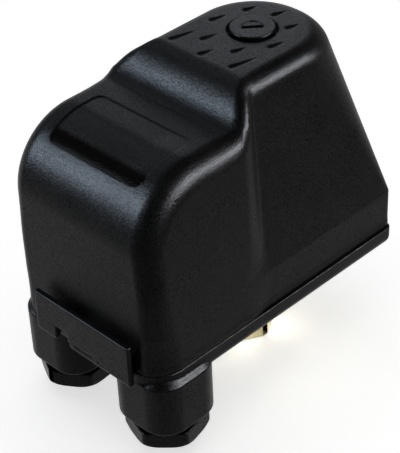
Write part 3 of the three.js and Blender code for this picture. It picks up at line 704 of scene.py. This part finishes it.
def swivel_nut(x, y, z):
    """Hexagon with an internal pipe thread, turning on the nipple's collar."""
    radius = np.hypot(x, y)
    d = round_max(hexagon(x, y, SWIVEL_ACROSS, 0, 0.35), slab(z, 0, SWIVEL_TOP), 0.25)
    d = round_max(d, (radius - SWIVEL_CHAMFER - z) * 0.8, 0.2)
    d = round_max(d, (radius - SWIVEL_CHAMFER + z - SWIVEL_TOP) * 0.8, 0.2)
    bore = np.minimum(radius - NIPPLE_BORE, np.maximum(radius - COLLAR_BORE, slab(z, *COLLAR_Z)))
    ridge = 0.35 * np.abs(2 * np.mod(z / PORT_PITCH - np.arctan2(y, x) / (2 * math.pi), 1) - 1)
    bore = np.minimum(bore, np.maximum(radius - PORT_BORE - ridge * (z < 10), z - PORT_DEPTH))
    lead = radius - PORT_BORE - 1.2 + z
    return round_max(round_max(d, -bore, 0.1), -lead, 0.15)


carve("swivel_nut_turned", "swivel_nut", swivel_nut, 0.25, yellow_zinc, "swivel_nut", 0.6)

flange_low, flange_high = node_box("pressure_flange")
PLATE_LOW = 19.5
HUB_R, PIPE_R, PIPE_BORE = 12, 4.6, 2.4
HUB_Z = (17.5, 20)
COLLAR_R, COLLAR_TOP = 6.9, 13.3
SEAT_R, SEAT_Z = 18.4, 22.5  # the recess that clamps the diaphragm's edge
CHAMBER_R, CHAMBER_Z = 14, 20.8  # the pressure chamber below it


def flange_solid(x, y, z):
    """Square plate with a hub, a nipple with its collar, and the pressure chamber."""
    radius = np.hypot(x, y)
    plate = rectangle(x, y, FLANGE_HALF, FLANGE_HALF, FLANGE_CORNER)
    plate = round_max(plate, slab(z, PLATE_LOW, flange_high[2]), 0.5)
    hub = round_max(radius - HUB_R - np.clip(z - 18.5, -1, 1.5), slab(z, *HUB_Z), 0.4)
    pipe = np.maximum(radius - PIPE_R, slab(z, flange_low[2], HUB_Z[1]))
    collar = round_max(radius - COLLAR_R, slab(z, flange_low[2], COLLAR_TOP), 0.3)
    d = np.minimum(np.minimum(round_min(plate, hub, 1.2), pipe), collar)
    d = np.maximum(d, PIPE_BORE - radius)
    d = np.maximum(d, -np.maximum(radius - SEAT_R, SEAT_Z - z))
    d = np.maximum(d, -np.maximum(radius - CHAMBER_R, CHAMBER_Z - z))
    return round_max(d, -flange_bolts(x, y), 0.3)


carve("pressure_flange_pressed", "pressure_flange", flange_solid, 0.45, yellow_zinc, "root")

# ------------------------------------------------------------------ screws


def pan_screw(node, material, radius, height, shank, pitch, down=False):
    """Pan-head screw with a cross recess and a thread."""
    low, high = node_box(node)
    centre = (low + high) / 2
    length = high[2] - low[2]
    top = low[2] if down else high[2]
    sign = -1 if down else 1
    dome_r = 2.4 * radius * 0.42

    def solid(x, y, z):
        u, v, w = x - centre[0], y - centre[1], (z - top) * sign
        r = np.hypot(u, v)
        dome = np.hypot(r * 0.42, w + dome_r) - dome_r
        head = round_max(round_max(r - radius, dome, 0.4), -height - w, 0.15)
        stem = np.maximum(thread(u, v, z, shank, pitch, 0.3), slab(w, -length, -height + 0.3))
        d = np.minimum(head, round_max(stem, r - shank - length - w + 0.6, 0.1))
        taper = 0.62 + 0.3 * np.clip(w + 1.6, 0, 1.6)
        arm_u = np.maximum(np.abs(u) - taper, np.abs(v) - 2.0)
        arm_v = np.maximum(np.abs(v) - taper, np.abs(u) - 2.0)
        recess = np.maximum(np.minimum(arm_u, arm_v), -1.7 + r * 0.3 - w)
        return round_max(d, -recess, 0.1)

    carve(f"{node}_turned", node, solid, 0.17, material, "root", 0.5)


for i in range(1, 5):
    pan_screw(f"flange_screw_{i}", zinc, 3.5, 2.2, 1.9, 0.7, down=True)
    pan_screw(f"terminal_screw_{i}", zinc, 3.5, 2.4, 1.8, 0.7)
for i in (1, 2):
    pan_screw(f"block_screw_{i}", zinc, 3.0, 2.0, 1.3, 0.8)
    pan_screw(f"earth_screw_{i}", brass, 3.4, 2.4, 1.9, 0.7)

# ------------------------------------------------------------------ studs, seats and nuts

RANGE_R, DIFF_R = 3.0, 2.5  # radii of the two studs
DIFF = np.array([0, -17.0])  # axis of the differential spring
LOCK_NUT = (33.1, 36.3)  # heights of the hexagon at a stud's foot


def stud(node, axis, radius, across, pitch):
    """Threaded stud with a hexagon at its foot."""
    low, high = node_box(node)

    def solid(x, y, z):
        u, v = x - axis[0], y - axis[1]
        shank = np.maximum(thread(u, v, z, radius, pitch, 0.4), slab(z, low[2], high[2]))
        shank = round_max(shank, np.hypot(u, v) + z - high[2] - radius + 0.8, 0.1)
        foot = round_max(hexagon(u, v, across, 0, 0.2), slab(z, *LOCK_NUT), 0.2)
        return np.minimum(shank, foot)

    carve(f"{node}_threaded", node, solid, 0.22, zinc, "root", 0.5)


def nut(node, axis, radius, across):
    """Hexagon nut, chamfered at both ends."""
    low, high = node_box(node)

    def solid(x, y, z):
        u, v = x - axis[0], y - axis[1]
        r = np.hypot(u, v)
        from_end = np.minimum(z - low[2], high[2] - z)
        cone = (r - across / 2 - 0.25 - from_end) * 0.75
        d = round_max(round_max(hexagon(u, v, across, 0, 0.2), slab(z, low[2], high[2]), 0.15), cone, 0.15)
        lead = r - radius - 0.15 - np.clip(0.7 - from_end, 0, 0.7)
        return round_max(d, -lead, 0.1)

    carve(f"{node}_turned", node, solid, 0.2, zinc, node, 0.5)


def seat(node, axis, radius, collar=None):
    """Spring seat: a washer, with a collar of that radius below it if one is given."""
    low, high = node_box(node)
    outer = (high[0] - low[0]) / 2
    thick = 2.2 if collar else high[2] - low[2]

    def solid(x, y, z):
        r = np.hypot(x - axis[0], y - axis[1])
        d = round_max(r - outer, slab(z, high[2] - thick, high[2]), 0.35)
        if collar:
            d = round_min(d, round_max(r - collar, slab(z, low[2], high[2] - 1), 0.4), 0.3)
        return round_max(d, -(r - radius - 0.15), 0.2)

    carve(f"{node}_turned", node, solid, 0.3, zinc, node, 0.6)


stud("range_stud", STUD, RANGE_R, 8, 1.0)
stud("differential_stud", DIFF, DIFF_R, 7, 0.8)
nut("range_nut", STUD, RANGE_R, 10)
nut("differential_nut", DIFF, DIFF_R, 8)
seat("range_seat", STUD, RANGE_R, 5.6)
seat("differential_seat", DIFF, DIFF_R)

# ------------------------------------------------------------------ springs and seals


def coil(node, axis, wire, turns, per_turn=44, sides=14):
    """Coil spring with closed ends over the node's height."""
    low, high = node_box(node)
    radius = (high[0] - low[0]) / 2 - wire / 2
    steps = int(turns * per_turn)
    t = np.linspace(0, 1, steps + 1)
    dead = 1 / turns
    rise = np.clip((t - dead) / (1 - 2 * dead), 0, 1)
    flat = wire * (np.minimum(t, dead) + np.maximum(t - 1 + dead, 0)) / dead
    height = high[2] - low[2] - wire
    z = low[2] + wire / 2 + flat + rise * (height - 2 * wire)
    angle = t * turns * 2 * math.pi
    out = np.stack([np.cos(angle), np.sin(angle), 0 * angle], 1)
    path = out * radius + np.stack([axis[0] + 0 * z, axis[1] + 0 * z, z], 1)
    tangent = np.gradient(path, axis=0)
    tangent /= np.linalg.norm(tangent, axis=1, keepdims=True)
    side = np.cross(tangent, out)
    around = np.arange(sides) / sides * 2 * math.pi
    cosine, sine = np.cos(around)[None, :, None], np.sin(around)[None, :, None]
    circle = out[:, None] * cosine + side[:, None] * sine
    points = (path[:, None] + wire / 2 * circle).reshape(-1, 3)
    points[:, 2] = np.clip(points[:, 2], low[2], high[2])
    faces = []
    for s in range(steps):
        for k in range(sides):
            a, b = s * sides + k, s * sides + (k + 1) % sides
            faces.append((a, b, b + sides, a + sides))
    faces.append(tuple(range(sides))[::-1])
    faces.append(tuple(steps * sides + k for k in range(sides)))
    piece = add_mesh(f"{node}_wound", points, faces, spring_steel, None, [node], smooth_angle=40)
    return piece


def between(piece):
    """The piece's placement baked into its mesh, which spans the node's height; it rides on no body."""
    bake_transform(piece)


SEAL_OUTER, SEAL_INNER = 8.3, 4.8  # radii


def seal(name, side):
    """Rubber sleeve with two waists, squeezed by the gland's thrust washer."""
    node = f"gland_seal_{name}"
    low, high = node_box(node)

    def solid(x, y, z):
        r = np.hypot(x - side * GLAND[0], y - GLAND[1])
        waist = 0.25 * np.cos((z - low[2]) * 2.6)
        sleeve = np.maximum(r - SEAL_OUTER, SEAL_INNER + waist - r)
        return round_max(sleeve, slab(z, low[2], high[2]), 0.5)

    piece = carve(f"{node}_moulded", node, solid, 0.4, rubber, None, 0.6)
    between(piece)


between(coil("range_spring", STUD, 2.2, 9))
between(coil("differential_spring", DIFF, 1.5, 7))
for i, side in ((1, -1), (2, 1)):
    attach(coil(f"contact_spring_{i}", (side * 13.0, -31.0), 0.6, 4, 28, 8), "contact_carrier")
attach(coil("toggle_spring", (0.0, -27.2), 0.8, 3, 28, 8), "contact_carrier")
seal("left", -1)
seal("right", 1)

# ------------------------------------------------------------------ CAD nodes that stay

KEPT = [  # material, width of the rounded edges, nodes
    (zinc, 0.25, ["bracket", "lever", "gland_washer_left", "gland_washer_right",
                  *(f"clamp_washer_{i}" for i in range(1, 5))]),
    (spring_steel, 0.1, ["pivot_pin", "pin_clip_1", "pin_clip_2", "screw_clip"]),
    (brass, 0.2, [*(f"terminal_{i}" for i in range(1, 5)), "contact_bridge_left", "contact_bridge_right",
                  "earth_washer_1", "earth_washer_2"]),
    (rubber, 0.3, ["diaphragm"]),
    (acetal, 0.35, ["plunger", "contact_carrier"]),
    (phenolic, 0.4, ["terminal_block"]),
]

for material, width, nodes in KEPT:
    for node in nodes:
        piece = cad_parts[node]
        piece.data.materials.clear()
        piece.data.materials.append(material)
        flat = piece.modifiers.new("flat", "DECIMATE")
        flat.decimate_type = "DISSOLVE"
        flat.angle_limit = math.radians(1)
        edge = piece.modifiers.new("edge", "BEVEL")
        edge.width = width * MM
        edge.segments = 3
        edge.limit_method = "ANGLE"
        edge.angle_limit = math.radians(45)
        weighted = piece.modifiers.new("weighted", "WEIGHTED_NORMAL")
        weighted.keep_sharp = True

# ------------------------------------------------------------------ floor, light and camera


AZIMUTH, ELEVATION, ROLL = 46.5, 36.288, 2.713  # degrees; the camera stands to the right of the front
DISTANCE = 474.58  # mm, from the camera to its target
TARGET = (0, -16.5, 70)
SHIFT_RIGHT, SHIFT_UP = -1.26, -17.4  # mm, from the target to the middle of the picture
FOCAL, PICTURE_HEIGHT = 1597.76, 453
SENSOR = 36
SHEET_HALF, SHEET_Z = 3.0, -0.0004
NEAR_PAINTED_SHADE = (0.1, 0.15)  # painted shade: the sheet turns grey this far towards the camera, in m
SIDE_PAINTED_SHADE = (0.08, 0.19)  # and this far to the camera's right
# emission strength of the sheet where it is white and where it is painted grey: a painted glow, as the sheet
# is no lamp
WHITE_GLOW, GREY_GLOW = 0.64, 0.22
CENTRE = (0, -0.02, 0.06)


def floor():
    """Pale paper sheet with a painted glow, its own emission, that keeps it white and its shadows pale
    behind the switch; painted shade turns it grey beside and before it.
    """
    mesh = bpy.data.meshes.new("floor")
    half = SHEET_HALF
    corners = [(-half, -half), (half, -half), (half, half), (-half, half)]
    mesh.from_pydata([(x, y, SHEET_Z) for x, y in corners], [], [(0, 1, 2, 3)])
    n = Nodes("floor_glowing_painted_shade")
    white = n.blend(n.range(n.noise(60), 0, 1), (0.86, 0.86, 0.86), (0.9, 0.9, 0.9))
    mapping = n.add("ShaderNodeMapping")
    mapping.inputs["Rotation"].default_value = (0, 0, math.radians(90 - AZIMUTH))
    n.link(n.place, mapping.inputs["Vector"])
    split = n.add("ShaderNodeSeparateXYZ")
    n.link(mapping.outputs["Vector"], split.inputs["Vector"])
    # painted shade: grey towards the camera and to its right, so the switch's camera-side faces reflect a
    # darker sheet
    before = n.range(split.outputs["X"], 0, 1, *NEAR_PAINTED_SHADE)
    beside = n.range(split.outputs["Y"], 0, 0.75, *SIDE_PAINTED_SHADE)
    fade = n.maths("MAXIMUM", before, beside)
    colour = n.blend(fade, white, (0.42, 0.42, 0.42))
    # painted glow: the sheet emits light, weaker where it is painted grey
    n.link(n.range(fade, WHITE_GLOW, GREY_GLOW, 0, 1), n.shader.inputs["Emission Strength"])
    n.shader.inputs["Emission Color"].default_value = (1, 1, 1, 1)
    roughness = n.range(n.noise(8), 0.8, 0.9)
    mesh.materials.append(n.finish(colour, roughness, n.bump(n.noise(4), 0.01), 0.0, 0.05))
    piece = bpy.data.objects.new("floor", mesh)
    bpy.context.scene.collection.objects.link(piece)


def studio_walls(horizon=0.8, zenith=0.22):
    """White surroundings that are brightest at eye level and dim overhead."""
    world = bpy.data.worlds.new("studio")
    world.use_nodes = True
    nodes, links = world.node_tree.nodes, world.node_tree.links
    place, split, fade = (nodes.new(f"ShaderNode{kind}") for kind in ("TexCoord", "SeparateXYZ", "MapRange"))
    fade.inputs["From Max"].default_value = 0.26
    fade.inputs["To Min"].default_value = horizon
    fade.inputs["To Max"].default_value = zenith
    links.new(place.outputs["Generated"], split.inputs["Vector"])
    links.new(split.outputs["Z"], fade.inputs["Value"])
    links.new(fade.outputs["Result"], nodes["Background"].inputs["Strength"])
    nodes["Background"].inputs["Color"].default_value = (1, 1, 1, 1)
    bpy.context.scene.world = world


def softbox(name, place, size, power, colour=(1, 1, 1), gloss=True):
    """Area light aimed at the switch that is either seen in glossy surfaces or lights matt ones."""
    light = bpy.data.lights.new(name, "AREA")
    light.shape = "RECTANGLE"
    light.size, light.size_y = size
    light.energy = power
    light.color = colour
    lamp = bpy.data.objects.new(name, light)
    lamp.location = place
    lamp.rotation_euler = (Vector(CENTRE) - Vector(place)).to_track_quat("-Z", "Y").to_euler()
    lamp.visible_diffuse, lamp.visible_glossy = not gloss, gloss
    bpy.context.scene.collection.objects.link(lamp)


def place_camera():
    """Camera that stands off its target along the view and is shifted and rolled across it."""
    a, e, r = (math.radians(v) for v in (AZIMUTH, ELEVATION, ROLL))
    back = Vector((math.sin(a) * math.cos(e), -math.cos(a) * math.cos(e), math.sin(e)))
    right = Vector((math.cos(a), math.sin(a), 0))
    up = back.cross(right)
    target = Vector(TARGET) + right * SHIFT_RIGHT + up * SHIFT_UP
    x_axis = right * math.cos(r) - up * math.sin(r)
    y_axis = right * math.sin(r) + up * math.cos(r)
    axes = Matrix((x_axis, y_axis, back)).transposed().to_4x4()
    axes.translation = (target + back * DISTANCE) * MM
    camera = bpy.data.objects.new("camera", bpy.data.cameras.new("camera"))
    camera.matrix_world = axes
    camera.data.sensor_fit = "VERTICAL"
    camera.data.sensor_height = SENSOR
    camera.data.lens = FOCAL * SENSOR / PICTURE_HEIGHT
    bpy.context.scene.collection.objects.link(camera)
    bpy.context.scene.camera = camera


floor()
studio_walls()
bpy.context.scene.view_settings.view_transform = "Standard"
softbox("front_left", (-0.51, -0.65, 0.5), (0.36, 0.34), 32, (0.7, 0.84, 1.0))
softbox("back_left", (-0.72, 0.78, 0.54), (0.5, 0.36), 2.1, (0.86, 0.92, 1.0))
softbox("upper_left", (-0.68, 0.08, 0.8), (0.54, 0.3), 1.5, (0.86, 0.92, 1.0))
softbox("right", (0.84, 0.36, 0.5), (0.8, 0.1), 86.0, (0.92, 0.94, 1.0))
softbox("room", (0.0, 0.0, 1.2), (1.2, 1.2), 3.7, gloss=False)
place_camera()

bpy.context.view_layer.update()
